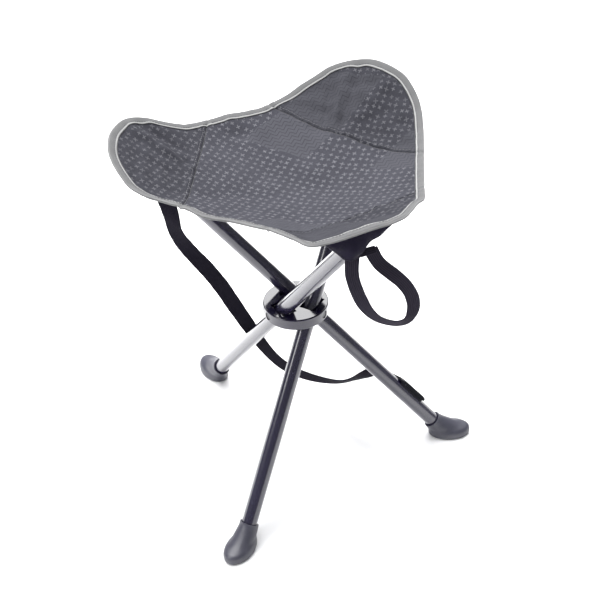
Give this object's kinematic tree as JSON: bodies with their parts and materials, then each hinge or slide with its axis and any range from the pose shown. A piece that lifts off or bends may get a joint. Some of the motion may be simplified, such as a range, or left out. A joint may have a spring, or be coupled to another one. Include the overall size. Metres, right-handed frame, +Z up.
{
  "type": "folding tripod stool",
  "caption": "Folding tripod stool: straight tube legs cross in a round hub and carry a sagging triangular fabric seat with bound edges, corner pockets, carry strap and closing loop.",
  "frame": {"origin": "on the floor, under the middle of the stool's box without its straps", "axes": "+Z up; +X towards the foot of the left leg, which stands on the right; the picture looks along +Y"},
  "size_m": [0.429, 0.3858, 0.4841],
  "materials": {
    "hub_plastic": "gloss black moulded",
    "steel": "plain steel",
    "leg_paint": "gloss anthracite powder coat on steel tube",
    "foot_plastic": "satin grey moulded",
    "black_plastic": "satin black moulded",
    "seat_fabric": "charcoal woven polyester with a light printed dash pattern",
    "binding_tape": "light grey woven binding tape",
    "pocket_fabric": "dark grey woven polyester",
    "webbing": "black ribbed webbing"
  },
  "bodies": {
    "hub": {"hub_body": "hub_plastic", "hub_pins": "steel", "seat_panel": "seat_fabric", "seat_binding": "binding_tape", "left_corner_panel": "seat_fabric", "front_corner_panel": "seat_fabric", "rear_corner_panel": "seat_fabric"},
    "left_leg": {"left_leg_tube": "leg_paint", "left_leg_foot": "foot_plastic", "left_leg_cap": "black_plastic", "left_pocket": "pocket_fabric", "carry_strap": "webbing", "strap_clip": "black_plastic", "strap_clip_rivet": "steel"},
    "front_leg": {"front_leg_tube": "leg_paint", "front_leg_foot": "foot_plastic", "front_leg_cap": "black_plastic", "front_pocket": "pocket_fabric", "closing_loop": "webbing"},
    "rear_leg": {"rear_leg_tube": "leg_paint", "rear_leg_foot": "foot_plastic", "rear_leg_cap": "black_plastic", "rear_pocket": "pocket_fabric"}
  },
  "joints": [
    {"name": "left_leg_fold", "type": "hinge", "parent": "hub", "child": "left_leg", "pos_m": [-0.01466, 0.02488, 0.24425], "axis": [-0.014, 0.9999, 0], "range_deg": [0, 33], "deforming": ["left_corner_panel", "seat_panel", "seat_binding"]},
    {"name": "front_leg_fold", "type": "hinge", "parent": "hub", "child": "front_leg", "pos_m": [-0.0317, -0.00562, 0.24425], "axis": [-0.859, -0.512, 0], "range_deg": [0, 33], "deforming": ["front_corner_panel"]},
    {"name": "rear_leg_fold", "type": "hinge", "parent": "hub", "child": "rear_leg", "pos_m": [0.00302, -0.00549, 0.24425], "axis": [0.8625, -0.506, 0], "range_deg": [0, 31], "deforming": ["rear_corner_panel"]}
  ],
  "couplings": [
    {"joint": "front_leg_fold", "follows": "left_leg_fold", "ratio": 1},
    {"joint": "rear_leg_fold", "follows": "left_leg_fold", "ratio": 0.93939}
  ]
}
